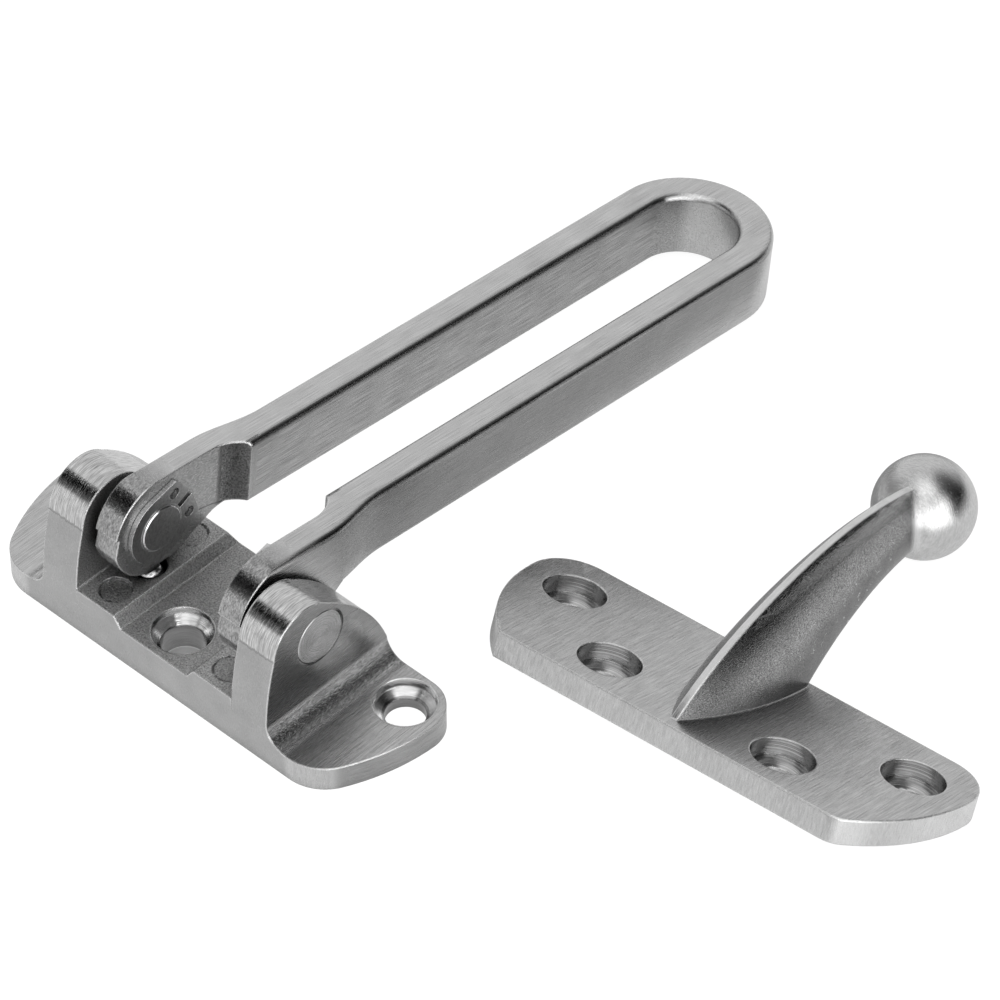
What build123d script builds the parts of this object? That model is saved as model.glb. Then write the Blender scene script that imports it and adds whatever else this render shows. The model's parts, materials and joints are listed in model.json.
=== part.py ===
from build123d import *
from math import asin, atan2, cos, degrees, hypot, radians, sin, sqrt
import os

# Swing-bar door guard: a hinge bracket with its swinging loop, and the ball keeper that the loop catches.
# All sizes are in millimetres. X runs along the hinge pins, Y goes back from the bracket, Z is up.

# Hinge bracket: plan and heights
base_width = 25.0
base_half_length = 38.2
tab_thickness = 4.3
channel_height = 6.8
platform_height = 8.7
channel_half_width = 6.8
ramp_run = 1.35
ear_gap = 32.0
ear_thickness = 7.0
ear_root_fillet = 3.6
platform_fillet = 0.3
back_bevel_width = 1.45
back_bevel_start = 5.6

# Hinge bracket: outline of a tab, from the straight front edge round to the back corner
tab_front_end = 27.0
tab_front_bulge = (31.5, -11.3)
tab_shoulder = (34.3, -8.2)
tab_side_bulge = (36.8, -2.2)
tab_corner_r = 6.0

# Hinge bracket: side profile of an ear, as front flank, round top and back flank
ear_flank_start = 6.0
ear_flank_bulge = (-11.75, 13.5)
ear_crown_start = (-10.3, 19.4)
ear_crown_top = (-5.4, 25.1)
ear_crown_end = (0.6, 23.4)
ear_back_bulge = (7.4, 17.0)
ear_back_end = 7.6

# Hinge axis and pins
pin_y = -1.0
pin_z = 17.7
pin_head_r = 4.5
journal_r = 4.1
pin_end_x = 9.0
pin_end_bevel = 0.45
pin_head_bevel = 0.2
press_clearance = 0.02
running_clearance = 0.06

# Screw holes
screw_head_r = 4.7
tab_land = 1.6
tab_cone = 0.95
tab_bore_r = 3.1
tab_hole_x = 32.0
tab_hole_y = 6.9
centre_land = 1.1
centre_cone = 1.4
centre_bore_r = 3.4
centre_hole_y = -6.45

# Spring-loaded detent under each knuckle
detent_x = 11.75
detent_y = -1.7
detent_ball_r = 2.6
detent_bore_clearance = 0.2
detent_bore_floor = 1.2
detent_rim_clearance = 0.06
spring_wire = 0.55
spring_turns = 3.5
spring_side_clearance = 0.35
spring_end_clearance = 0.12

# Round marks of the mould's push pins
mark_r = 2.5
mark_front_y = -8.4
mark_back_y = 7.2
mark_deep = 0.6
mark_shallow = 0.15

# Swing bar, in its own frame: X across, Y out along the arms from the pins, Z square to them
bar_droop = 7.3
bar_reach = 117.9
slot_half_width = 7.5
arm_thickness = 5.5
arm_top = 8.5
arm_bottom = -2.5
knuckle_inner_x = 10.4
knuckle_side_gap = 1.3
bar_side_shift = 0.3
outer_bend_start = 10.0
outer_bend_end = 23.0
slot_step_start = 11.0
slot_step_r = 6.0
belly_meets_arm = 13.5
arm_edge_r = 1.05
belly_edge_r = 0.25
notch_width = 3.4
notch_depth = 0.6
closed_notch_angle = 171.0

# Retaining ring on the inner end of each pin
ring_thickness = 0.8
ring_groove_depth = 0.5
ring_fit = 0.05
ring_band = 1.9
ring_lug_r = 7.8
ring_lug_spread = 38.0
ring_lug_crown = 6.9
ring_gap_width = 1.1
ring_gap_angle = 25.5
ring_hole_r = 0.95
ring_hole_orbit = 5.7
ring_hole_angle = 33.0

# Ball keeper, in its own frame: X along the plate, Y towards the ball, Z up from the plate's back
plate_half_width = 14.75
plate_half_length = 38.2
plate_thickness = 4.2
plate_crease_x = 29.7
plate_side_bulge = (37.5, -2.3)
plate_corner_r = 7.2
plate_edge_r = 0.25
keeper_head_r = 4.9
keeper_land = 2.9
keeper_cone = 0.8
keeper_seat_r = 4.3
keeper_bore_r = 2.75
keeper_outer_hole = (30.2, 5.35)
keeper_inner_hole = (15.35, -6.75)
plate_worn_corner_r = 4.0
ball_r = 8.0
ball_y = 46.9
ball_z = 21.3

# Horn of the keeper: its ridge and belly seen from the side, from the plate to the ball
ridge_points = [(-12.9, 3.8), (-5.0, 11.2), (5.5, 17.6), (21.5, 23.9)]
ridge_to_ball = (-4.2, 5.1)
belly_points = [(14.3, 3.8), (18.2, 7.4), (27.0, 12.9)]
belly_to_ball = (-3.0, -4.2)
ridge_half_width = 0.52
belly_half_at_plate = 6.5
belly_half_at_ball = 3.0
flank_bulge_at_plate = 1.7
flank_bulge_at_ball = 1.0
belly_round_share = 0.3
horn_lean = 0.7
horn_steps = 8

# Where the keeper lies beside the bracket: on its back edge and its ball
keeper_x = 67.6
keeper_y = 34.1
keeper_turn = 5.3

# Sizes that follow from the ones above
half_width = base_width / 2
ear_inner_x = ear_gap / 2
ear_outer_x = ear_inner_x + ear_thickness
knuckle_outer_x = ear_inner_x - knuckle_side_gap
knuckle_r = arm_top
slot_end = bar_reach - arm_thickness
outer_half_width = slot_half_width + arm_thickness
knuckle_bore_r = journal_r + running_clearance
groove_r = journal_r - ring_groove_depth
ring_outer_x = knuckle_inner_x - bar_side_shift - ring_fit
groove_outer_x = ring_outer_x + ring_fit
groove_inner_x = ring_outer_x - ring_thickness - ring_fit
ball_to_pin = knuckle_r + detent_rim_clearance + detent_ball_r
ball_centre_z = pin_z - sqrt(ball_to_pin**2 - (detent_y - pin_y) ** 2)


def across(profile, x0, x1):
    """Extrudes a face drawn in (y, z) from x0 to x1."""
    return extrude(Plane.YZ.offset(x0) * profile, x1 - x0)


def screw_hole(top, land, cone, bottom, head_r, bore_r):
    """Cutter for a countersunk hole: a short cylinder, a cone and the bore, on the Z axis."""
    cone_top = top - land
    cone_bottom = cone_top - cone
    steps = [(0, top + 1), (head_r, top + 1), (head_r, cone_top), (bore_r, cone_bottom), (bore_r, bottom - 1)]
    half = make_face(Polyline(*steps, (0, bottom - 1), close=True).edges())
    return revolve(Plane.XZ * half, Axis.Z)


def rounded_plan(right, corner_y, corner_r):
    """Closes a right half outline with its mirror image and rounds the two corners on one edge."""
    left = [mirror(edge, about=Plane.YZ) for edge in right]
    plan = make_face(right + left)
    corners = plan.vertices().filter_by(lambda v: abs(v.Y - corner_y) < 0.01 and abs(v.X) > corner_r)
    return fillet(corners, corner_r)


def tab_outline():
    """Plan of the whole bracket: both rounded tabs and the straight front and back."""
    back_corner = (base_half_length, half_width)
    right = [
        Line((0, -half_width), (tab_front_end, -half_width)),
        ThreePointArc((tab_front_end, -half_width), tab_front_bulge, tab_shoulder),
        ThreePointArc(tab_shoulder, tab_side_bulge, back_corner),
        Line(back_corner, (0, half_width)),
    ]
    return rounded_plan(right, half_width, tab_corner_r)


def ear_profile():
    """Side view of an ear, in (y, z)."""
    front_top = (-half_width, ear_flank_start)
    back_top = (half_width, ear_back_end)
    return make_face([
        Line((-half_width, 0), front_top),
        ThreePointArc(front_top, ear_flank_bulge, ear_crown_start),
        ThreePointArc(ear_crown_start, ear_crown_top, ear_crown_end),
        ThreePointArc(ear_crown_end, ear_back_bulge, back_top),
        Line(back_top, (half_width, 0)),
        Line((half_width, 0), (-half_width, 0)),
    ])


def middle_profile():
    """Section between the ears, in (x, z): two platforms and the channel with its ramps."""
    ramp_top = channel_half_width + ramp_run
    right = [
        (ear_inner_x, 0),
        (ear_inner_x, platform_height),
        (ramp_top, platform_height),
        (channel_half_width, channel_height),
    ]
    left = [(-x, z) for x, z in reversed(right)]
    return make_face(Polyline(*right, *left, close=True).edges())


def corner_fill(x, z, radius, way):
    """Fillet in the corner between an ear and the face beside it, kept within the ear's outline."""
    middle = radius * (1 - sqrt(0.5))
    profile = make_face([
        Line((x, z), (x + way * radius, z)),
        ThreePointArc((x + way * radius, z), (x + way * middle, z + middle), (x, z + radius)),
        Line((x, z + radius), (x, z)),
    ])
    strip = extrude(Plane.XZ.offset(half_width) * profile, -base_width)
    return strip & across(ear_profile(), x, x + way * radius)


def back_bevel():
    """Cutter for the sloping back edge of the platforms and the channel."""
    slope = platform_height - back_bevel_start
    corners = [
        (half_width, back_bevel_start),
        (half_width - 2 * back_bevel_width, back_bevel_start + 2 * slope),
        (half_width + 1, back_bevel_start + 2 * slope),
        (half_width + 1, back_bevel_start),
    ]
    return across(make_face(Polyline(*corners, close=True).edges()), -ear_inner_x, ear_inner_x)


def make_base():
    base = extrude(tab_outline(), tab_thickness)
    base += extrude(Plane.XZ.offset(half_width) * middle_profile(), -base_width) - back_bevel()
    for side in (-1, 1):
        base += across(ear_profile(), side * ear_inner_x, side * ear_outer_x)
        base += corner_fill(side * ear_outer_x, tab_thickness, ear_root_fillet, side)
        base += corner_fill(side * ear_inner_x, platform_height, platform_fillet, -side)
    for side in (-1, 1):
        tab_cut = screw_hole(tab_thickness, tab_land, tab_cone, 0, screw_head_r, tab_bore_r)
        base -= Pos(side * tab_hole_x, tab_hole_y, 0) * tab_cut
        pin_bore = Circle(pin_head_r + press_clearance)
        base -= across(Pos(pin_y, pin_z) * pin_bore, side * (ear_inner_x - 1), side * (ear_outer_x + 1))
        ball_bore = extrude(Circle(detent_ball_r + detent_bore_clearance), platform_height)
        base -= Pos(side * detent_x, detent_y, detent_bore_floor) * ball_bore
        for y in (mark_front_y, mark_back_y):
            depth = mark_deep if side < 0 and y < 0 else mark_shallow
            mark = Cylinder(mark_r, 2 * depth)
            base -= Pos(side * detent_x, y, platform_height) * mark
    centre_cut = screw_hole(channel_height, centre_land, centre_cone, 0, screw_head_r, centre_bore_r)
    base -= Pos(0, centre_hole_y, 0) * centre_cut
    return base


def bar_plan():
    """Plan of the loop in its own frame, with the arms run out past the knuckles."""
    run_out = -knuckle_r - 1
    step_centre = knuckle_inner_x - slot_step_r
    step_end = slot_step_start + sqrt(slot_step_r**2 - (slot_half_width - step_centre) ** 2)
    step_mid_angle = atan2(step_end - slot_step_start, slot_half_width - step_centre) / 2
    step_mid = (
        step_centre + slot_step_r * cos(step_mid_angle),
        slot_step_start + slot_step_r * sin(step_mid_angle),
    )
    outer_turn = bar_reach - outer_half_width
    inner_turn = slot_end - slot_half_width
    corner = sqrt(0.5)
    right = [
        Line((knuckle_outer_x, run_out), (knuckle_outer_x, outer_bend_start)),
        Spline((knuckle_outer_x, outer_bend_start), (outer_half_width, outer_bend_end), tangents=[(0, 1), (0, 1)]),
        Line((outer_half_width, outer_bend_end), (outer_half_width, outer_turn)),
        ThreePointArc(
            (outer_half_width, outer_turn),
            (outer_half_width * corner, outer_turn + outer_half_width * corner),
            (0, bar_reach),
        ),
        ThreePointArc(
            (0, slot_end),
            (slot_half_width * corner, inner_turn + slot_half_width * corner),
            (slot_half_width, inner_turn),
        ),
        Line((slot_half_width, inner_turn), (slot_half_width, step_end)),
        ThreePointArc((slot_half_width, step_end), step_mid, (knuckle_inner_x, slot_step_start)),
        Line((knuckle_inner_x, slot_step_start), (knuckle_inner_x, run_out)),
        Line((knuckle_inner_x, run_out), (knuckle_outer_x, run_out)),
    ]
    left = [mirror(edge, about=Plane.YZ) for edge in right]
    return make_face(right + left)


def bar_side():
    """Side view of an arm and its knuckle, in (y, z) of the bar's frame."""
    past_end = bar_reach + 1
    reach = hypot(belly_meets_arm, arm_bottom)
    tangent_angle = atan2(arm_bottom, belly_meets_arm) - (radians(90) - asin(knuckle_r / reach))
    belly_start = (knuckle_r * cos(tangent_angle), knuckle_r * sin(tangent_angle))
    return make_face([
        Line((0, arm_top), (past_end, arm_top)),
        Line((past_end, arm_top), (past_end, arm_bottom)),
        Line((past_end, arm_bottom), (belly_meets_arm, arm_bottom)),
        Line((belly_meets_arm, arm_bottom), belly_start),
        ThreePointArc(belly_start, (-knuckle_r, 0), (0, arm_top)),
    ])


def loop_edges(bar, z):
    """Long edges of the loop at one height, without those of the slot's wide end, which stay crisp."""
    def is_soft(edge):
        middle = edge.center()
        box = edge.bounding_box()
        if abs(box.min.Z - z) > 0.001 or abs(box.max.Z - z) > 0.001:
            return False
        wide_end = abs(middle.X) < knuckle_inner_x + 0.01 and middle.Y < slot_step_start + slot_step_r
        return abs(middle.X) > 0.01 and not wide_end

    return bar.edges().filter_by(is_soft)


def rim_notch():
    """Notch in a knuckle's rim: a sharp step, then a flat that runs out to the rim."""
    floor_r = knuckle_r - notch_depth
    run_out = sqrt(knuckle_r**2 - floor_r**2)
    corners = [(floor_r, 0), (knuckle_r + 1, 0), (knuckle_r + 1, run_out), (floor_r, run_out)]
    return make_face(Polyline(*corners, close=True).edges())


def make_bar():
    plan = Pos(0, 0, arm_bottom) * extrude(bar_plan(), arm_top - arm_bottom)
    plan = fillet(loop_edges(plan, arm_top), arm_edge_r)
    plan = fillet(loop_edges(plan, arm_bottom), belly_edge_r)
    knuckles = Pos(0, 0, -knuckle_r) * extrude(bar_plan(), knuckle_r + arm_bottom + belly_edge_r + 1)
    near = Box(4 * knuckle_outer_x, 2 * belly_meets_arm, 4 * knuckle_r)
    bar = plan + (knuckles & near)
    bar &= across(bar_side(), -knuckle_outer_x - 1, knuckle_outer_x + 1)
    bar -= across(Circle(knuckle_bore_r), -knuckle_outer_x - 1, knuckle_outer_x + 1)
    for angle in (closed_notch_angle, bar_droop - 90):
        notch = Rot(0, 0, angle) * rim_notch()
        bar -= across(notch, -knuckle_outer_x - 1, knuckle_outer_x + 1)
    return Pos(bar_side_shift, pin_y, pin_z) * Rot(-bar_droop, 0, 0) * bar


def make_pin(side):
    """Stepped pin: a fixed head in the ear, the journal in the knuckle, and the groove for the ring."""
    outline = [
        (0, ear_outer_x),
        (pin_head_r - pin_head_bevel, ear_outer_x),
        (pin_head_r, ear_outer_x - pin_head_bevel),
        (pin_head_r, ear_inner_x),
        (journal_r, ear_inner_x),
        (journal_r, groove_outer_x),
        (groove_r, groove_outer_x),
        (groove_r, groove_inner_x),
        (journal_r, groove_inner_x),
        (journal_r, pin_end_x + pin_end_bevel),
        (journal_r - pin_end_bevel, pin_end_x),
        (0, pin_end_x),
    ]
    half = make_face(Polyline(*outline, close=True).edges())
    pin = revolve(Plane.XZ * half, Axis.Z)
    return Pos(0, pin_y, pin_z) * Rot(0, 90 * side, 0) * pin


def make_ring(side):
    """Open retaining ring with two lugs, lying against the knuckle's inner face."""
    inner_r = groove_r + ring_fit
    outer_r = journal_r + ring_band
    lug_x = ring_lug_r * cos(radians(ring_lug_spread))
    lug_y = ring_lug_r * sin(radians(ring_lug_spread))
    lug_arc = ThreePointArc((lug_x, -lug_y), (ring_lug_crown, 0), (lug_x, lug_y))
    outline = make_hull([CenterArc((0, 0), outer_r, 0, 360), lug_arc])
    outline -= Circle(inner_r)
    outline -= Pos(ring_lug_r, 0) * Rectangle(2 * (ring_lug_r - inner_r / 2), ring_gap_width)
    for way in (-1, 1):
        angle = radians(way * ring_hole_angle)
        outline -= Pos(ring_hole_orbit * cos(angle), ring_hole_orbit * sin(angle)) * Circle(ring_hole_r)
    flat = Pos(pin_y, pin_z) * Rot(0, 0, ring_gap_angle) * outline
    near_x = side * ring_outer_x
    return across(flat, near_x, near_x - side * ring_thickness)


def make_spring(side):
    """Coil under a detent ball, from the floor of its bore up to the ball's underside."""
    mean_r = detent_ball_r + detent_bore_clearance - spring_side_clearance - spring_wire / 2
    seat_z = ball_centre_z - sqrt((detent_ball_r + spring_wire / 2) ** 2 - mean_r**2)
    low = detent_bore_floor + spring_wire / 2 + spring_end_clearance
    high = seat_z - spring_end_clearance
    coil = Helix(pitch=(high - low) / spring_turns, height=high - low, radius=mean_r)
    wire = Plane(coil @ 0, z_dir=coil % 0) * Circle(spring_wire / 2)
    return Pos(side * detent_x, detent_y, low) * sweep(wire, path=coil)


def plate_outline():
    """Plan of the keeper's plate: a crease at each front corner and rounded ends."""
    crease = (plate_crease_x, -plate_half_width)
    back_corner = (plate_half_length, plate_half_width)
    right = [
        Line((0, -plate_half_width), crease),
        ThreePointArc(crease, plate_side_bulge, back_corner),
        Line(back_corner, (0, plate_half_width)),
    ]
    return rounded_plan(right, plate_half_width, plate_corner_r)


def horn_section(ridge, belly, share):
    """One cross-section of the horn: a narrow ridge above, full flanks, and a rounded belly."""
    lift = Vector(0, ridge.X - belly.X, ridge.Y - belly.Y)
    depth = lift.length
    plane = Plane(origin=(horn_lean * share, belly.X, belly.Y), x_dir=(1, 0, 0), z_dir=Vector(1, 0, 0).cross(lift))
    belly_half = belly_half_at_plate + share * (belly_half_at_ball - belly_half_at_plate)
    bulge = flank_bulge_at_plate + share * (flank_bulge_at_ball - flank_bulge_at_plate)
    corner = belly_half * belly_round_share
    soft = corner * (1 - sqrt(0.5))
    flank_x = (ridge_half_width + belly_half) / 2 + bulge
    flank_y = (depth + corner) / 2
    right = [
        Line((0, 0), (belly_half - corner, 0)),
        ThreePointArc((belly_half - corner, 0), (belly_half - soft, soft), (belly_half, corner)),
        ThreePointArc((belly_half, corner), (flank_x, flank_y), (ridge_half_width, depth)),
        Line((ridge_half_width, depth), (0, depth)),
    ]
    left = [mirror(edge, about=Plane.YZ) for edge in right]
    return plane * make_face(right + left)


def make_horn():
    """Horn lofted along its ridge and its belly, from inside the plate to inside the ball."""
    ridge_end = (ball_y + ridge_to_ball[0], ball_z + ridge_to_ball[1])
    belly_end = (ball_y + belly_to_ball[0], ball_z + belly_to_ball[1])
    ridge_line = Spline(*ridge_points, ridge_end)
    belly_line = Spline(*belly_points, belly_end)
    shares = [step / (horn_steps - 1) for step in range(horn_steps)]
    return loft([horn_section(ridge_line @ t, belly_line @ t, t) for t in shares])


def make_keeper():
    plate = extrude(plate_outline(), plate_thickness)
    worn_corner = plate.edges().filter_by(Axis.Z).sort_by_distance((plate_crease_x, -plate_half_width))[0]
    plate = fillet(worn_corner, plate_worn_corner_r)
    plate = fillet(plate.faces().sort_by(Axis.Z)[-1].edges(), plate_edge_r)
    keeper = plate + make_horn() + Pos(horn_lean, ball_y, ball_z) * Sphere(ball_r)
    head_bore = extrude(Circle(keeper_head_r), 2 * keeper_land)
    cut = screw_hole(plate_thickness, keeper_land, keeper_cone, 0, keeper_seat_r, keeper_bore_r)
    cut += Pos(0, 0, plate_thickness - keeper_land) * head_bore
    for side in (-1, 1):
        for x, y in (keeper_outer_hole, keeper_inner_hole):
            keeper -= Pos(side * x, y, 0) * cut
    reach = ball_y - plate_half_width
    tilt = degrees(atan2(ball_z, reach) - asin(ball_r / hypot(reach, ball_z)))
    lift = plate_half_width * sin(radians(tilt))
    return Pos(keeper_x, keeper_y, lift) * Rot(0, 0, keeper_turn) * Rot(-tilt, 0, 0) * keeper


def save(solid, name):
    export_step(solid, f"parts/{name}.step")


os.makedirs("parts", exist_ok=True)
save(make_base(), "base")
save(make_bar(), "swing_bar")
save(make_keeper(), "keeper")
for side, word in ((-1, "left"), (1, "right")):
    save(make_pin(side), f"hinge_pin_{word}")
    save(make_ring(side), f"retaining_ring_{word}")
    save(Pos(side * detent_x, detent_y, ball_centre_z) * Sphere(detent_ball_r), f"detent_ball_{word}")
    save(make_spring(side), f"detent_spring_{word}")
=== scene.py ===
# %% [markdown]
# The object is a swing-bar door guard in satin nickel, in two halves. One half is a hinge bracket whose
# slotted bar swings on two pins. The other is a keeper, a plate with a horn that ends in a ball. The packed
# CAD model holds every piece at its real place and size, so this script makes no shapes of its own. It gives
# the pieces their edges, their finishes and their light.

import json
import math
from types import SimpleNamespace

import bmesh
import bpy
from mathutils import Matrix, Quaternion, Vector


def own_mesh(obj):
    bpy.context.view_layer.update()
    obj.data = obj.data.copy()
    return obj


MM = 0.001

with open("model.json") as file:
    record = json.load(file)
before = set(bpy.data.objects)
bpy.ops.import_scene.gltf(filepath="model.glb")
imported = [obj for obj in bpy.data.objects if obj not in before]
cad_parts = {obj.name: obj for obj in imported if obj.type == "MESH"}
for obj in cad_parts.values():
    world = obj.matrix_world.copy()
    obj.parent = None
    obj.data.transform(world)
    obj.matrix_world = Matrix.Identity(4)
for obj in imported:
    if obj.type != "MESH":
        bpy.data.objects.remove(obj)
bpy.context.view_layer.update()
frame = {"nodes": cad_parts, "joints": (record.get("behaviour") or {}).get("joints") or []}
nodes = frame["nodes"]
hinge = next(joint for joint in frame["joints"] if joint["name"] == "bar_swing")["pos_m"]
print("pieces:", ", ".join(sorted(nodes)))
print("the bar swings about the line through", hinge)


# %% [markdown]
# The guard was photographed from its front right, well above the table, through a long lens. The camera
# looks at a point on the table between the two halves. It is placed by two angles and a distance, so the
# same numbers say how to set up a real camera. A typed-in matrix would also work, but nobody could read it.

# %% Camera
LOOK_AT = Vector((10.88, 49.54, 0.0)) * MM
AZIMUTH = math.radians(43.37)
ELEVATION = math.radians(44.99)
ROLL = math.radians(-0.43)
DISTANCE = 892.0 * MM
LENS = 213.4
SENSOR = 36.0

back = Vector((
    math.sin(AZIMUTH) * math.cos(ELEVATION),
    -math.cos(AZIMUTH) * math.cos(ELEVATION),
    math.sin(ELEVATION),
))
lens = bpy.data.cameras.new("camera")
lens.lens = LENS
lens.sensor_width = SENSOR
lens.clip_start = 0.01
lens.clip_end = 20.0
camera = bpy.data.objects.new("camera", lens)
camera.location = LOOK_AT + back * DISTANCE
camera.rotation_mode = "QUATERNION"
camera.rotation_quaternion = (-back).to_track_quat("-Z", "Y") @ Quaternion((0, 0, 1), ROLL)
bpy.context.scene.collection.objects.link(camera)
bpy.context.scene.camera = camera
bpy.context.scene.view_settings.view_transform = "Standard"
print("camera stands at", [round(v, 3) for v in camera.location])


# %% [markdown]
# Every material below is a small tree of shader nodes. Written out in full, a tree is long and hard to read.
# These helpers add one node each, so a finish can be read like a sum: a mask times a tone, plus a grain.

# %% Helpers for shader nodes
def put(tree, kind, inputs=None, **settings):
    """Adds a shader node, sets its options, and fills its inputs with values or links."""
    node = tree.nodes.new(kind)
    for name, value in settings.items():
        setattr(node, name, value)
    for name, value in (inputs or {}).items():
        if isinstance(value, bpy.types.NodeSocket):
            tree.links.new(value, node.inputs[name])
        else:
            node.inputs[name].default_value = value
    return node


def calc(tree, operation, *values):
    """One sum on numbers or sockets."""
    return put(tree, "ShaderNodeMath", dict(enumerate(values)), operation=operation).outputs[0]


def both(tree, *masks):
    """Where all the masks hold."""
    result = masks[0]
    for mask in masks[1:]:
        result = calc(tree, "MULTIPLY", result, mask)
    return result


def rise(tree, value, start, end):
    """A smooth step: 0 at start and 1 at end. With start above end it falls."""
    sockets = {"Value": value, "From Min": start, "From Max": end}
    return put(tree, "ShaderNodeMapRange", sockets, interpolation_type="SMOOTHSTEP").outputs["Result"]


def blend(tree, mask, low, high):
    """Low where the mask is 0 and high where it is 1."""
    sockets = {"Factor": mask, "A": low, "B": high}
    return put(tree, "ShaderNodeMix", sockets, data_type="FLOAT").outputs["Result"]


def raised(tree, start, *steps):
    """The start, plus each step's mask times its amount."""
    result = start
    for mask, amount in steps:
        result = calc(tree, "MULTIPLY_ADD", mask, amount, result)
    return result


def axes(tree, vector):
    """The three numbers of a vector."""
    return put(tree, "ShaderNodeSeparateXYZ", {0: vector}).outputs[:]


def joined(tree, x, y, z):
    """A vector of three numbers."""
    return put(tree, "ShaderNodeCombineXYZ", {0: x, 1: y, 2: z}).outputs[0]


def distance(tree, a, b=(0, 0, 0)):
    """How far apart two places are."""
    return put(tree, "ShaderNodeVectorMath", {0: a, 1: b}, operation="DISTANCE").outputs["Value"]


print("shader helpers: put, calc, both, rise, blend, raised, axes, joined, distance")


# %% [markdown]
# Bare metal has hardly any colour of its own. What the eye reads as nickel is the room in it, so the room is
# most of the work. Lamps could make it, but a lamp near a small object lights its two ends differently. A
# painted sky is simpler: each soft box or black card is a round patch at a compass angle and a height. The
# angles run from the object's front, turning towards its right. The camera itself sees plain white.

# %% World
ROOM_LEVEL = 0.32
# name, turn, height, angles from the middle where the fading starts and ends, brightness
PATCHES = [
    ("wide soft box behind on the left", -137, 45, 34, 58, 0.76),
    ("grey wall behind on the right", 155, 45, 18, 34, 0.14),
    ("ceiling box", 40, 78, 18, 28, 1.4),
    ("key light at the front right", 68, 8, 26, 35, 2.6),
    ("key light, upper part", 90, 34, 10, 19, 2.0),
    ("second key, higher and more to the front", 32, 36, 12, 22, 1.3),
    ("second key, left part", 2, 39, 8, 18, 1.0),
    ("white card low in front on the left", -29, 14, 9, 20, 0.95),
    ("black card on the right", 134, 4, 27, 35, 0.0),
    ("black card on the right, upper part", 138, 34, 13, 24, 0.02),
    ("narrow black card in front on the left", -51, 47, 15, 20, 0.0),
    ("narrow black card, lower part", -42, 34, 5, 12, 0.05),
]


def aim(turn, height):
    """Unit vector at a compass turn from the front towards the right, and a height above the horizon."""
    turn, height = math.radians(turn), math.radians(height)
    return Vector((math.sin(turn) * math.cos(height), -math.cos(turn) * math.cos(height), math.sin(height)))


def make_room():
    """Paints the patches on the sky, each over the ones before it."""
    world = bpy.data.worlds.new("studio")
    world.use_nodes = True
    sky = world.node_tree
    sky.nodes.clear()
    towards = put(sky, "ShaderNodeTexCoord").outputs["Generated"]
    level = ROOM_LEVEL
    for name, turn, height, core, rim, strength in PATCHES:
        near = put(sky, "ShaderNodeVectorMath", {0: towards, 1: aim(turn, height)}, operation="DOT_PRODUCT")
        inside = rise(sky, near.outputs["Value"], math.cos(math.radians(rim)), math.cos(math.radians(core)))
        level = blend(sky, inside, level, strength)
        print("sky:", name, "at", turn, height)
    path = put(sky, "ShaderNodeLightPath").outputs
    seen = calc(sky, "MAXIMUM", path["Is Camera Ray"], path["Is Transmission Ray"])
    shown = blend(sky, seen, level, 1.0)
    light = put(sky, "ShaderNodeBackground", {"Color": (1, 1, 1, 1), "Strength": shown})
    put(sky, "ShaderNodeOutputWorld", {"Surface": light.outputs[0]})
    bpy.context.scene.world = world


make_room()


# %% [markdown]
# The guard stands on white paper. For the camera a share of the paper glows by itself, which makes the white
# background, and the rest takes the soft shadow. The metal sees less of that glow, as in the photograph. It
# also sees a grey card between the bar and the keeper, which darkens their sides. A real card would have to
# be hidden from the camera, and its shadow too. A material that asks what kind of ray meets it does both.
# Under the bracket's middle screw hole the paper doesn't glow, because hardly any light gets down there.

# %% Floor
PAPER_HALF_SIDE = 3.0
PAPER_TONE = 0.8
PAPER_GLOW = 1.24
GLOW_SHARE_SEEN = 0.76
GLOW_SHARE_REFLECTED = 0.35
# where each edge of the card starts and where the card has its full shade, in metres
CARD_LEFT, CARD_RIGHT = (0.012, 0.020), (0.060, 0.045)
CARD_FRONT, CARD_BACK = (0.010, 0.030), (0.150, 0.130)
CARD_SHADE = 0.62
# the paper in the middle of the screw hole, and how far from there the glow starts and is full, in metres
BORE_FLOOR = (0.0, -0.00645, 0.0)
BORE_GLOW_EDGE = (0.0030, 0.0042)


def make_paper():
    """The paper's material: matt, and glowing by a share that depends on the ray that meets it."""
    paper = bpy.data.materials.new("paper")
    paper.use_nodes = True
    tree = paper.node_tree
    tree.nodes.clear()
    place = put(tree, "ShaderNodeTexCoord").outputs["Object"]
    x, y = axes(tree, place)[:2]
    card = both(tree, rise(tree, x, *CARD_LEFT), rise(tree, x, *CARD_RIGHT),
                rise(tree, y, *CARD_FRONT), rise(tree, y, *CARD_BACK))
    open_paper = rise(tree, distance(tree, place, BORE_FLOOR), *BORE_GLOW_EDGE)
    path = put(tree, "ShaderNodeLightPath").outputs
    seen = calc(tree, "MAXIMUM", path["Is Camera Ray"], path["Is Transmission Ray"])
    lit = raised(tree, 1.0, (card, -CARD_SHADE))
    reflected = both(tree, path["Is Glossy Ray"], GLOW_SHARE_REFLECTED, lit)
    share = calc(tree, "MAXIMUM", both(tree, seen, GLOW_SHARE_SEEN, open_paper), reflected)
    tone = calc(tree, "MULTIPLY", blend(tree, seen, lit, 1.0), PAPER_TONE)
    matt = put(tree, "ShaderNodeBsdfDiffuse", {"Color": tone})
    glow = put(tree, "ShaderNodeEmission", {"Color": (1, 1, 1, 1), "Strength": PAPER_GLOW})
    mixed = put(tree, "ShaderNodeMixShader", {0: share, 1: matt.outputs[0], 2: glow.outputs[0]})
    put(tree, "ShaderNodeOutputMaterial", {"Surface": mixed.outputs[0]})
    return paper


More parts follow.
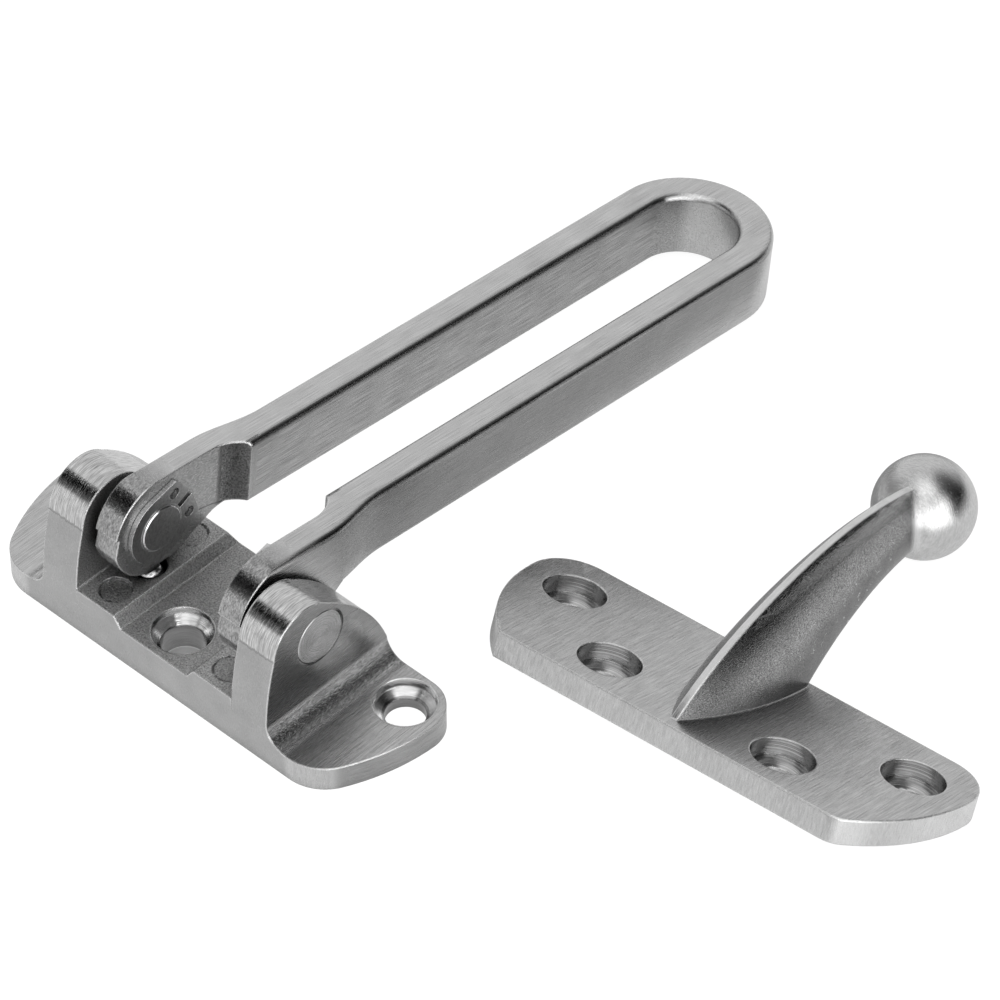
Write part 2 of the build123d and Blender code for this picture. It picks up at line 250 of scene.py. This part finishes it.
def make_floor():
    """One large square of paper, which isn't part of the object."""
    mesh = bpy.data.meshes.new("floor")
    bm = bmesh.new()
    bmesh.ops.create_grid(bm, x_segments=1, y_segments=1, size=PAPER_HALF_SIDE)
    bm.to_mesh(mesh)
    bm.free()
    mesh.materials.append(make_paper())
    floor = bpy.data.objects.new("floor", mesh)
    bpy.context.scene.collection.objects.link(floor)
    return floor


print("floor:", make_floor().name)


# %% [markdown]
# A brushed face has fine parallel lines, a blasted or cast one has an even grain. Both are noise, stretched
# by a different number of lines per millimetre along each axis. The same noise tints the metal, changes its
# gloss and lifts its surface, so the three belong together. Mixing finished textures would work too, but
# noise is the dear part of a material. Here a finish is only a recipe of numbers: recipes are laid over each
# other with masks, and one noise at the end makes the texture.

# %% Recipes
def own_frame(tree, origin=(0, 0, 0), turn=(0, 0, 0)):
    """A spot on the surface, in the piece's own frame.

    It holds the place in millimetres, whole and as x, y and z, the distance out from the middle plane x = 0,
    and the direction in which the surface faces, as nx, ny and nz.
    """
    coords = put(tree, "ShaderNodeTexCoord")
    sockets = {"Vector": coords.outputs["Object"], "Location": origin, "Rotation": turn}
    moved = put(tree, "ShaderNodeMapping", sockets, vector_type="TEXTURE").outputs[0]
    place = put(tree, "ShaderNodeVectorMath", {0: moved, "Scale": 1 / MM}, operation="SCALE").outputs[0]
    sockets = {"Vector": coords.outputs["Normal"], "Rotation": turn}
    facing = put(tree, "ShaderNodeVectorRotate", sockets, rotation_type="EULER_XYZ", invert=True).outputs[0]
    x, y, z = axes(tree, place)
    nx, ny, nz = axes(tree, facing)
    out = calc(tree, "ABSOLUTE", x)
    return SimpleNamespace(place=place, x=x, y=y, z=z, out=out, nx=nx, ny=ny, nz=nz)


def grain(tree, place, per_mm, detail=3.0):
    """Noise with so many features per millimetre along each axis."""
    scaled = put(tree, "ShaderNodeVectorMath", {0: place, 1: per_mm}, operation="MULTIPLY").outputs[0]
    sockets = {"Vector": scaled, "Scale": 1.0, "Detail": detail, "Roughness": 0.6}
    return put(tree, "ShaderNodeTexNoise", sockets).outputs[0]


def recipe(place, per_mm, tone, contrast, roughness, depth):
    """Where the noise is read, its features per millimetre, and what it does to the metal.

    A finish may add "stain", a share by which the metal is darker, and "edge", the radius of its edges.
    """
    return {"place": place, "per_mm": per_mm, "tone": tone, "contrast": contrast,
            "roughness": roughness, "depth": depth}


def laid_over(tree, mask, under, over):
    """The upper recipe where the mask is 1, the lower one where it is 0."""
    result = {}
    for key, low in under.items():
        if key in ("place", "per_mm"):
            # in a Mix node for vectors, A and B are inputs 4 and 5, and the result is output 1
            mixed = put(tree, "ShaderNodeMix", {0: mask, 4: low, 5: over[key]}, data_type="VECTOR")
            result[key] = mixed.outputs[1]
        else:
            result[key] = blend(tree, mask, low, over[key])
    return result


def layered(tree, base, *layers):
    """A base recipe and others on top of it, each of them a mask and a recipe."""
    result = base
    for mask, over in layers:
        result = laid_over(tree, mask, result, over)
    return result


print("recipe helpers: own_frame, grain, recipe, laid_over, layered")


# %% [markdown]
# Real edges are never sharp: each one is a thin round that catches a light somewhere, and that white line
# is what makes a part look solid. The rounds could be cut with a Bevel modifier, but the imported meshes are
# long thin triangles, which it tears. The Bevel node rounds the normals only, and leaves the mesh alone.
# Where the rounded normal departs from the true one, there is an edge, and an edge that stands in the open
# gets a painted highlight, almost white. The Ambient Occlusion node says how open a place is. It also finds
# the crevices, and darkens their colour there as painted shade, with some dirt.

# %% Metals
GRAIN_HEIGHT = 0.1 * MM
GRAIN_GLOSS = -0.25
PATCH_PER_MM = (0.22, 0.22, 0.22)
PATCH_CONTRAST = 0.16
EDGE_ROUND = 0.38 * MM
EDGE_AGREEMENT = (0.995, 0.92)
EDGE_OPENNESS = (0.60, 0.80)
# the painted highlight on open edges: their colour, almost white
EDGE_HIGHLIGHT_TONE = 0.98
EDGE_ROUGHNESS = 0.22
CREVICE = 3.0 * MM
CREVICE_OPENNESS = (0.05, 0.55)
# painted shade, with some dirt: the share of its colour that the deepest crevices keep
CREVICE_SHADE_AND_DIRT_TONE = 0.12


def edge_rounding_and_highlight(tree, edge):
    """The rounded normal, where an open edge gets a painted highlight, and how open each place is."""
    rounded = put(tree, "ShaderNodeBevel", {"Radius": edge}, samples=4).outputs[0]
    plain = put(tree, "ShaderNodeNewGeometry").outputs["Normal"]
    agree = put(tree, "ShaderNodeVectorMath", {0: rounded, 1: plain}, operation="DOT_PRODUCT")
    openness = put(tree, "ShaderNodeAmbientOcclusion", {"Distance": CREVICE}, samples=2).outputs["AO"]
    at_edge = rise(tree, agree.outputs["Value"], *EDGE_AGREEMENT)
    # where an open edge gets a painted highlight
    wear_and_edge_highlight = both(tree, at_edge, rise(tree, openness, *EDGE_OPENNESS))
    return rounded, wear_and_edge_highlight, openness


def make_metal(name, finish, edge=EDGE_ROUND, **own_place):
    """A metal whose recipe comes from a finish function, read in a frame with its own origin and turn."""
    metal = bpy.data.materials.new(name)
    metal.use_nodes = True
    tree = metal.node_tree
    shader = tree.nodes["Principled BSDF"]
    shader.inputs["Metallic"].default_value = 1.0
    spot = own_frame(tree, **own_place)
    mix = finish(tree, spot)
    rounded, wear_and_edge_highlight, openness = edge_rounding_and_highlight(tree, mix.get("edge", edge))
    noise = calc(tree, "SUBTRACT", grain(tree, mix["place"], mix["per_mm"]), 0.5)
    patches = calc(tree, "SUBTRACT", grain(tree, spot.place, PATCH_PER_MM, detail=4.0), 0.5)
    tone = raised(tree, mix["tone"], (noise, mix["contrast"]), (patches, PATCH_CONTRAST))
    # a painted highlight on open edges
    tone = blend(tree, wear_and_edge_highlight, tone, EDGE_HIGHLIGHT_TONE)
    # the share by which real stains and painted shade darken the colour
    after_stain_and_shade = calc(tree, "SUBTRACT", 1.0, mix.get("stain", 0.0))
    # painted shade, with some dirt, darkens the crevices
    tone = both(tree, tone, after_stain_and_shade, blend(tree, rise(tree, openness, *CREVICE_OPENNESS), CREVICE_SHADE_AND_DIRT_TONE, 1.0))
    roughness = raised(tree, mix["roughness"], (noise, GRAIN_GLOSS))
    roughness = blend(tree, wear_and_edge_highlight, roughness, EDGE_ROUGHNESS)
    height = calc(tree, "MULTIPLY", noise, mix["depth"])
    bump = put(tree, "ShaderNodeBump", {"Height": height, "Distance": GRAIN_HEIGHT, "Normal": rounded})
    tree.links.new(tone, shader.inputs["Base Color"])
    tree.links.new(roughness, shader.inputs["Roughness"])
    tree.links.new(bump.outputs[0], shader.inputs["Normal"])
    print("metal:", name, "with", len(tree.nodes), "nodes")
    return metal


# %% [markdown]
# The bracket is one casting, plated in satin nickel. A belt has brushed its tabs from front to back and left
# its front almost smooth, and the crowns of its ears carry fine scratches that run over the curve. The
# channel between the ears is out of the belt's reach, so it keeps the grain of its mould. Each of these could
# be a material of its own on its own faces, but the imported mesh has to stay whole. So one material finds each
# zone by its place and by the way it faces.

# %% Zones and grain of the bracket
EAR_INNER, EAR_OUTER = 16.0, 23.0
# a fade is where a mask starts and where it is full, in millimetres
FILLET_FADE, TAB_RIM_FADE = (26.8, 26.0), (26.0, 27.5)
CROWN_FADE = (19.7, 19.95)
TO_THE_FRONT = (-0.5, -0.8)
RAGGED_PER_MM = (1.6, 0.2, 0.2)
TAB_HOLE, CENTRE_HOLE = (32.0, 6.9, 0), (0, -6.45, 0)
HEAD_R = 4.7


def bracket_zones(tree, spot):
    """A mask for each zone of the bracket. The crown's lower border is ragged, so it follows a noise."""
    sideways = calc(tree, "ABSOLUTE", spot.nx)
    ragged = grain(tree, spot.place, RAGGED_PER_MM, detail=2.0)
    ragged_height = calc(tree, "ADD", ragged, spot.z)
    on_ear = rise(tree, spot.out, EAR_INNER - 0.1, EAR_INNER)
    front = rise(tree, spot.ny, *TO_THE_FRONT)
    crown = both(tree, on_ear, rise(tree, ragged_height, *CROWN_FADE), rise(tree, sideways, 0.6, 0.4))
    rim = both(tree, rise(tree, spot.out, *TAB_RIM_FADE), rise(tree, spot.nz, 0.5, 0.3))
    ear_face = both(tree, rise(tree, sideways, 0.75, 0.9),
                    rise(tree, spot.out, EAR_OUTER - 0.4, EAR_OUTER - 0.1))
    fillet = both(tree, rise(tree, spot.out, EAR_OUTER, EAR_OUTER + 0.2), rise(tree, spot.out, *FILLET_FADE),
                  rise(tree, spot.nz, 0.05, 0.2))
    channel = both(tree, rise(tree, spot.out, EAR_INNER + 0.25, EAR_INNER), rise(tree, spot.ny, -0.9, -0.6))
    to_tab_hole = distance(tree, joined(tree, spot.out, spot.y, 0.0), TAB_HOLE)
    to_centre_hole = distance(tree, joined(tree, spot.x, spot.y, 0.0), CENTRE_HOLE)
    from_screw = calc(tree, "MINIMUM", to_tab_hole, to_centre_hole)
    return SimpleNamespace(ragged=ragged, ragged_height=ragged_height, on_ear=on_ear, front=front,
                           crown=crown, rim=rim, ear_face=ear_face, fillet=fillet, channel=channel,
                           from_screw=from_screw)


def bracket_grain(tree, spot, zone):
    """The brushed lines of the tabs, with each other zone's grain laid over them."""
    place = spot.place
    lines = recipe(place, (8.0, 0.20, 0.3), tone=0.56, contrast=0.75, roughness=0.25, depth=0.30)
    front = recipe(place, (6.0, 6.0, 2.0), tone=0.46, contrast=0.20, roughness=0.30, depth=0.10)
    crown = recipe(place, (9.0, 0.45, 0.45), tone=0.60, contrast=1.40, roughness=0.11, depth=0.28)
    rim = recipe(place, (6.0, 6.0, 0.8), tone=0.60, contrast=0.35, roughness=0.27, depth=0.15)
    flat = recipe(place, (0.3, 0.25, 6.0), tone=0.37, contrast=0.32, roughness=0.27, depth=0.20)
    fillet = recipe(place, (3.6, 1.2, 3.0), tone=0.56, contrast=0.80, roughness=0.20, depth=0.9)
    cast = recipe(place, (4.0, 4.0, 4.0), tone=0.44, contrast=1.20, roughness=0.33, depth=1.2)
    cone = recipe(place, (0.3, 0.3, 3.0), tone=0.62, contrast=0.5, roughness=0.15, depth=0.3)
    in_screw_seat = rise(tree, zone.from_screw, HEAD_R + 0.3, HEAD_R + 0.15)
    return layered(tree, lines, (zone.front, front), (zone.crown, crown), (zone.rim, rim),
                   (zone.ear_face, flat), (zone.fillet, fillet), (zone.channel, cast), (in_screw_seat, cone))


print("bracket: ears from", EAR_INNER, "to", EAR_OUTER, "mm out, screw seats", 2 * HEAD_R, "mm across")


# %% [markdown]
# Use and casting have left marks on the bracket. A washer has rubbed a paler disc on each ear, below the pin.
# Painted shade lies in the joint round the pin, on its half to the back and below, and down in the screw
# holes. The colour is also darker along the border of the crown, and the mould's own pins have left faint
# rings in the channel, darker at their rims and a little inside. The disc lifts the tone a little, and all the
# others darken it. Painted images could do this too, but they need files, and a mask needs none.

# %% Marks and painted shade of the bracket
WASHER_MARK, WASHER_MARK_R, WASHER_MARK_TONE = (0, 2.7, 12.2), 5.1, 0.09
PIN_CENTRE, PIN_HEAD_R = tuple(v / MM for v in hinge), 4.5
# painted shade in the joint round the pin, on its half to the back and below
JOINT_PAINTED_SHADE, JOINT_FADE = 0.9, 2.0
# the colour is darker along the crown's border
CROWN_BORDER, CROWN_BORDER_DARKENING = 19.8, 0.30
# painted shade down in the screw holes
BORE_R, BORE_PAINTED_SHADE = 3.4, 0.55
MOULD_MARKS, MOULD_MARK_R = [(11.75, -8.4, 0), (11.75, 7.2, 0)], 2.5
# how much darker the mould marks are at their rims and inside
MOULD_RIM_DARKENING, MOULD_DISC_DARKENING = 0.60, 0.18


def pin_joint_painted_shade(tree, spot, zone):
    """Painted shade in the joint round the pin, on its half to the back and below."""
    from_pin = distance(tree, joined(tree, 0.0, spot.y, spot.z), PIN_CENTRE)
    middle = PIN_CENTRE[1] - PIN_CENTRE[2]
    shaded = rise(tree, calc(tree, "SUBTRACT", spot.y, spot.z), middle - JOINT_FADE, middle + JOINT_FADE)
    return both(tree, zone.ear_face, shaded, rise(tree, from_pin, PIN_HEAD_R + 0.35, PIN_HEAD_R + 0.2))


def mould_marks(tree, spot, zone):
    """Rims that come and go, and discs a little darker than the channel round them."""
    patchy = rise(tree, zone.ragged, 0.42, 0.52)
    steps = []
    for mark in MOULD_MARKS:
        from_middle = distance(tree, joined(tree, spot.out, spot.y, 0.0), mark)
        from_rim = calc(tree, "SUBTRACT", from_middle, MOULD_MARK_R)
        on_rim = rise(tree, calc(tree, "ABSOLUTE", from_rim), 0.35, 0.1)
        steps.append((both(tree, on_rim, patchy, zone.channel), MOULD_RIM_DARKENING))
        steps.append((both(tree, rise(tree, from_rim, 0.05, -0.2), zone.channel), MOULD_DISC_DARKENING))
    return steps


def bracket_finish(tree, spot):
    """Grain, washer marks, darker marks and painted shade of the bracket."""
    zone = bracket_zones(tree, spot)
    result = bracket_grain(tree, spot, zone)
    from_mark = distance(tree, joined(tree, 0.0, spot.y, spot.z), WASHER_MARK)
    in_mark = both(tree, zone.ear_face, rise(tree, from_mark, WASHER_MARK_R + 0.1, WASHER_MARK_R - 0.3))
    result["tone"] = raised(tree, result["tone"], (in_mark, WASHER_MARK_TONE))
    from_border = calc(tree, "ABSOLUTE", calc(tree, "SUBTRACT", zone.ragged_height, CROWN_BORDER))
    on_border = both(tree, rise(tree, from_border, 0.28, 0.1), zone.front, zone.on_ear)
    in_bore = rise(tree, zone.from_screw, BORE_R + 0.15, BORE_R + 0.05)
    # painted shade at the pin's joint and in the screw holes; darker colour along the crown's border and at the
    # mould marks
    result["stain"] = raised(tree, 0.0, (pin_joint_painted_shade(tree, spot, zone), JOINT_PAINTED_SHADE), (on_border, CROWN_BORDER_DARKENING),
                             (in_bore, BORE_PAINTED_SHADE), *mould_marks(tree, spot, zone))
    return result


bracket_metal = make_metal("bracket satin nickel", bracket_finish)


# %% [markdown]
# The bar is a cast loop, belted along its arms. The long edges on its upper side are rounded and buffed, and
# they mirror the black card as one crisp dark line. The knuckles were blasted, and on their inner faces the
# mould has left a seam. At rest the bar leans down until its closed end lies on the table. Its lines would
# run askew in the table's frame, so they are drawn in one that leans with it, with the hinge as its origin.

# %% Swing bar
BAR_SHIFT = 0.3 * MM
BAR_ORIGIN = (BAR_SHIFT, hinge[1], hinge[2])
BAR_TURN = (math.radians(-7.3), 0, 0)
ARM_ROUND = 0.7 * MM
KNUCKLE_FADE = (4.0, -2.0)
KNUCKLE_FACE_FADE = (17.5, 16.5)
STEP_START, STEP_END = (9.0, 10.0), (18.5, 17.8)
SEAM_START, SEAM_END = Vector((0, 7.6, -1.7)), Vector((0, 12.9, -2.5))
SEAM_FADE = 0.3
SEAM_STAIN = 0.45


def bar_zones(tree, spot):
    """A mask for each zone of the bar. Outwards is 1 where a face looks away from the slot."""
    outwards = calc(tree, "MULTIPLY", calc(tree, "SIGN", spot.x), spot.nx)
    knuckle_rim = both(tree, rise(tree, spot.y, *KNUCKLE_FADE),
                       rise(tree, calc(tree, "ABSOLUTE", spot.nx), 0.6, 0.4))
    inner_face = rise(tree, outwards, -0.6, -0.85)
    knuckle_face = both(tree, inner_face, rise(tree, spot.y, *KNUCKLE_FACE_FADE))
    step = both(tree, rise(tree, spot.y, *STEP_START), rise(tree, spot.y, *STEP_END),
                rise(tree, outwards, 0.0, -0.2), rise(tree, outwards, -0.99, -0.96),
                rise(tree, spot.out, 7.4, 7.6))
    top_round = both(tree, rise(tree, spot.nz, 0.06, 0.2), rise(tree, spot.nz, 0.97, 0.88),
                     rise(tree, spot.y, 6.0, 9.0))
    return SimpleNamespace(outer_face=rise(tree, outwards, 0.5, 0.8), knuckle_rim=knuckle_rim,
                           inner_face=inner_face, knuckle_face=knuckle_face, step=step, top_round=top_round)


def bar_seam(tree, spot, zone):
    """The mould's seam, a thin line down the knuckle's inner face."""
    slope = (SEAM_END.z - SEAM_START.z) / (SEAM_END.y - SEAM_START.y)
    seam_z = raised(tree, SEAM_START.z - slope * SEAM_START.y, (spot.y, slope))
    off_seam = calc(tree, "ABSOLUTE", calc(tree, "SUBTRACT", spot.z, seam_z))
    on_line = rise(tree, off_seam, 0.2, 0.08)
    past_start = rise(tree, spot.y, SEAM_START.y - SEAM_FADE, SEAM_START.y)
    before_end = rise(tree, spot.y, SEAM_END.y + SEAM_FADE, SEAM_END.y)
    return both(tree, on_line, past_start, before_end, zone.inner_face)


def bar_finish(tree, spot):
    """Lines along the arms, with the knuckles, the slot's sides and the rounded edges laid over them."""
    place = spot.place
    along = recipe(place, (8.0, 0.12, 8.0), tone=0.60, contrast=0.65, roughness=0.26, depth=0.30)
    outer_side = recipe(place, (8.0, 0.12, 8.0), tone=0.65, contrast=0.60, roughness=0.26, depth=0.25)
    blasted = recipe(place, (4.5, 1.8, 1.8), tone=0.38, contrast=0.95, roughness=0.15, depth=0.42)
    inner_side = recipe(place, (8.0, 0.14, 8.0), tone=0.42, contrast=0.85, roughness=0.27, depth=0.25)
    dull = recipe(place, (4.5, 1.8, 4.5), tone=0.42, contrast=0.60, roughness=0.29, depth=0.30)
    hollow = recipe(place, (3.6, 3.6, 3.6), tone=0.27, contrast=0.90, roughness=0.32, depth=0.9)
    buffed = recipe(place, (8.0, 0.12, 8.0), tone=0.52, contrast=0.70, roughness=0.11, depth=0.12)
    zone = bar_zones(tree, spot)
    result = layered(tree, along, (zone.outer_face, outer_side), (zone.knuckle_rim, blasted),
                     (zone.inner_face, inner_side), (zone.knuckle_face, dull), (zone.step, hollow),
                     (zone.top_round, buffed))
    result["stain"] = calc(tree, "MULTIPLY", bar_seam(tree, spot, zone), SEAM_STAIN)
    result["edge"] = blend(tree, rise(tree, spot.y, 8.0, 22.0), EDGE_ROUND, ARM_ROUND)
    return result


bar_metal = make_metal("bar satin nickel", bar_finish, origin=BAR_ORIGIN, turn=BAR_TURN)


# %% [markdown]
# The keeper is cast in one: a plate brushed across its width, a horn, and a ball polished by the bar that
# slides on it. Its screw holes were turned, which leaves rings round their walls. The rings are noise read
# by height or by radius alone. The keeper lies tilted on its plate's edge and its ball, so its frame is
# worked out from the two, as a ruler laid against them would show.

# %% Keeper frame and screw holes
PLATE_HALF_WIDTH, PLATE_TOP = 14.75, 4.2
BALL_CENTRE, BALL_R = Vector((0.7, 46.9, 21.3)), 8.0
KEEPER_HOLES, KEEPER_HEAD_R = [(30.2, 5.35, 0), (15.35, -6.75, 0)], 4.9

reach = BALL_CENTRE.y - PLATE_HALF_WIDTH
tilt = math.atan2(BALL_CENTRE.z, reach) - math.asin(BALL_R / math.hypot(reach, BALL_CENTRE.z))
KEEPER_TURN = (-tilt, 0, math.radians(5.3))
KEEPER_ORIGIN = tuple(v * MM for v in (67.6, 34.1, PLATE_HALF_WIDTH * math.sin(tilt)))


def turned_holes(tree, spot):
    """A layer for each pair of holes: rings by height on the walls, and by radius on the ledges."""
    wall = recipe(joined(tree, 0.0, 0.0, spot.z), (0.1, 0.1, 2.2),
                  tone=0.46, contrast=0.9, roughness=0.16, depth=1.2)
    below_top = rise(tree, spot.z, PLATE_TOP - 0.02, PLATE_TOP - 0.08)
    layers = []
    for hole in KEEPER_HOLES:
        radius = distance(tree, joined(tree, spot.out, spot.y, 0.0), hole)
        ledge = recipe(joined(tree, radius, 0.0, 0.0), (2.6, 0.1, 0.1),
                       tone=0.52, contrast=0.9, roughness=0.16, depth=1.2)
        turned = laid_over(tree, rise(tree, spot.nz, 0.2, 0.4), wall, ledge)
        inside = both(tree, rise(tree, radius, KEEPER_HEAD_R + 0.35, KEEPER_HEAD_R + 0.2), below_top)
        layers.append((inside, turned))
    return layers


print("keeper: leans by", round(math.degrees(tilt), 2), "degrees, with", 2 * len(KEEPER_HOLES), "screw holes")


# %% [markdown]
# The horn is darker than the plate, and its colour is painted by the way it faces: painted shade that gets
# darker as the flank turns up from the belly, dark on the shoulder below the ridge, and a painted highlight on
# the ridge. The plate's rim has a painted highlight beside its crease and towards its right end. Handling has
# left a few curled scratches on the horn. They could be drawn as curves, each with its own points, but a noise
# has such lines in it already: wherever its value passes one level, it draws a thin closed curve. A second,
# coarser noise lets only some of them through.

# %% Keeper
PLATE_CREASE_X = 29.7
# where the painted highlight towards the plate's right end starts and is full, in millimetres
PLATE_END_HIGHLIGHT_FADE = (33.0, 38.0)
BALL_BLEND = 2.6 * MM
SCRATCH_PER_MM, SCRATCH_LEVEL, SCRATCH_TONE = (0.8, 0.8, 0.8), 0.5, 0.4
SCRATCH_GROUP_PER_MM, SCRATCH_GROUP_FADE = (0.6, 0.6, 0.6), (0.58, 0.64)


def scratches(tree, spot, to_ball):
    """Thin curls on the horn's sides, clear of the plate and of the ball."""
    off_level = calc(tree, "SUBTRACT", grain(tree, spot.place, SCRATCH_PER_MM, detail=1.0), SCRATCH_LEVEL)
    thread = rise(tree, calc(tree, "ABSOLUTE", off_level), 0.012, 0.004)
    group = rise(tree, grain(tree, spot.place, SCRATCH_GROUP_PER_MM, detail=0.0), *SCRATCH_GROUP_FADE)
    on_flank = both(tree, rise(tree, spot.z, 6.0, 8.0), rise(tree, to_ball, BALL_R + 4.0, BALL_R + 8.0),
                    rise(tree, spot.nz, 0.40, 0.25))
    return both(tree, thread, group, on_flank)


def plate_rim_tone_with_painted_highlight(tree, spot, tone):
    """The rim's tone, with a painted highlight beside the crease and towards the plate's right end."""
    crease_painted_highlight = both(tree, rise(tree, spot.x, PLATE_CREASE_X - 1.2, PLATE_CREASE_X + 0.5),
                     rise(tree, spot.x, PLATE_CREASE_X + 5.0, PLATE_CREASE_X + 2.0))
    return raised(tree, tone, (crease_painted_highlight, 0.17), (rise(tree, spot.x, *PLATE_END_HIGHLIGHT_FADE), 0.12))


def keeper_finish(tree, spot):
    """The brushed plate, with its rim, the horn, the ball and the screw holes laid over it."""
    place = spot.place
    rim_tone_with_painted_highlight = plate_rim_tone_with_painted_highlight(tree, spot, 0.61)
    # painted shade by facing: lighter on the belly, darker as the flank turns up
    flank_painted_shade_tone = blend(tree, rise(tree, spot.nz, -0.35, 0.10), 0.42, 0.20)
    top = recipe(place, (8.0, 0.22, 0.3), tone=0.56, contrast=0.75, roughness=0.25, depth=0.28)
    rim = recipe(place, (6.0, 6.0, 0.8), tone=rim_tone_with_painted_highlight, contrast=0.40, roughness=0.26, depth=0.16)
    flank = recipe(place, (6.0, 6.0, 6.0), tone=flank_painted_shade_tone, contrast=0.35, roughness=0.21, depth=0.12)
    # painted shade on the shoulder below the ridge
    shoulder_painted_shade = recipe(place, (6.0, 6.0, 6.0), tone=0.32, contrast=1.20, roughness=0.16, depth=0.30)
    # a painted highlight on the ridge, where the horn faces up
    ridge_painted_highlight = recipe(place, (3.0, 1.0, 1.0), tone=0.74, contrast=0.15, roughness=0.20, depth=0.10)
    polished = recipe(place, (1.2, 5.0, 1.2), tone=0.62, contrast=0.40, roughness=0.23, depth=0.16)
    horn = layered(tree, flank, (rise(tree, spot.nz, 0.15, 0.32), shoulder_painted_shade),
                   (rise(tree, spot.nz, 0.50, 0.65), ridge_painted_highlight))
    to_ball = distance(tree, place, BALL_CENTRE)
    on_rim = rise(tree, spot.nz, 0.5, 0.3)
    on_horn = rise(tree, spot.z, PLATE_TOP + 0.05, PLATE_TOP + 0.15)
    on_ball = rise(tree, to_ball, BALL_R + 0.3, BALL_R + 0.05)
    result = layered(tree, top, (on_rim, rim), (on_horn, horn), (on_ball, polished),
                     *turned_holes(tree, spot))
    result["tone"] = raised(tree, result["tone"], (scratches(tree, spot, to_ball), SCRATCH_TONE))
    result["edge"] = blend(tree, rise(tree, to_ball, BALL_R + 2.5, BALL_R + 1.0), EDGE_ROUND, BALL_BLEND)
    return result


keeper_metal = make_metal("keeper satin nickel", keeper_finish, origin=KEEPER_ORIGIN, turn=KEEPER_TURN)


# %% [markdown]
# The small steel pieces are not plated. A pin's outer end was faced on a lathe and shows rings about its
# centre, and its inner end is dark and worn, with a painted highlight round its rims. The retaining rings were
# stamped from dark spring steel, so only their sheared edges shine. The detent balls are bearing balls, the
# one true mirror on the guard.

# %% Pins, rings and balls
SMALL_ROUND = 0.12 * MM
PIN_OUTER_END = (14.0, 16.0)


def pin_finish(tree, spot):
    """Dark steel, a painted highlight on the rims, and lathe rings on the outer end."""
    radius = distance(tree, joined(tree, 0.0, spot.y, spot.z))
    wear_and_edge_highlight = recipe(spot.place, (2.5, 2.5, 2.5), tone=0.36, contrast=0.4, roughness=0.32, depth=0.4)
    # a painted highlight on the faces that don't look along the pin
    rim_painted_highlight = recipe(spot.place, (2.5, 2.5, 2.5), tone=0.85, contrast=0.1, roughness=0.15, depth=0.1)
    lathe = recipe(joined(tree, radius, 0.0, spot.x), (4.0, 0.1, 2.0),
                   tone=0.58, contrast=0.3, roughness=0.20, depth=0.9)
    off_face = rise(tree, calc(tree, "ABSOLUTE", spot.nx), 0.97, 0.9)
    return layered(tree, wear_and_edge_highlight, (off_face, rim_painted_highlight), (rise(tree, spot.out, *PIN_OUTER_END), lathe))


def ring_finish(tree, spot):
    """Dull stamped faces and bright sheared edges."""
    stamped = recipe(spot.place, (2.5, 2.5, 2.5), tone=0.34, contrast=0.35, roughness=0.34, depth=0.4)
    sheared = recipe(spot.place, (0.6, 3.0, 3.0), tone=0.70, contrast=0.5, roughness=0.22, depth=0.4)
    return laid_over(tree, rise(tree, calc(tree, "ABSOLUTE", spot.nx), 0.8, 0.6), stamped, sheared)


def ball_finish(tree, spot):
    """Almost a mirror."""
    return recipe(spot.place, (1.0, 1.0, 1.0), tone=0.80, contrast=0.05, roughness=0.10, depth=0.05)


pin_metal = make_metal("turned pin steel", pin_finish, edge=SMALL_ROUND, origin=hinge)
ring_metal = make_metal("dark ring steel", ring_finish, edge=SMALL_ROUND)
ball_metal = make_metal("bearing ball chrome", ball_finish)


# %% [markdown]
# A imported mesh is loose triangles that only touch. Smooth shading needs them joined, and a crease has to stay
# a crease. Normals could be written by hand for each corner, but two modifiers do it and leave the mesh
# alone: Weld joins the points, and Edge Split parts the faces again where they meet at a sharp angle.

# %% Edges and materials on the pieces
WELD_WITHIN = 0.001 * MM
CREASE_ANGLE = math.radians(30)
METALS = {
    "base": bracket_metal,
    "swing_bar": bar_metal,
    "keeper": keeper_metal,
    "hinge_pin": pin_metal,
    "retaining_ring": ring_metal,
    "detent_ball": ball_metal,
    "detent_spring": ring_metal,
}


def finish_piece(name, piece):
    """Gives a piece its metal, and smooth faces with sharp creases."""
    stem = name.removesuffix("_left").removesuffix("_right")
    for slot in piece.material_slots:
        slot.material = METALS[stem]
    for face in piece.data.polygons:
        face.use_smooth = True
    weld = piece.modifiers.new("weld", "WELD")
    weld.merge_threshold = WELD_WITHIN
    split = piece.modifiers.new("split", "EDGE_SPLIT")
    split.split_angle = CREASE_ANGLE


for name, piece in nodes.items():
    finish_piece(name, piece)
print("finished", len(nodes), "pieces")


# %% [markdown]
# Each detent ball sits on a spring and is pressed down as the knuckle turns over it. The real spring's lower
# end stays on the floor of its bore, and it gives way by as much as the ball travels. Here each spring only
# gets a mesh of its own and stays stiff, so a pressed ball would pass through its top turns.

for side in ("left", "right"):
    spring = nodes["detent_spring_" + side]
    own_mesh(spring)
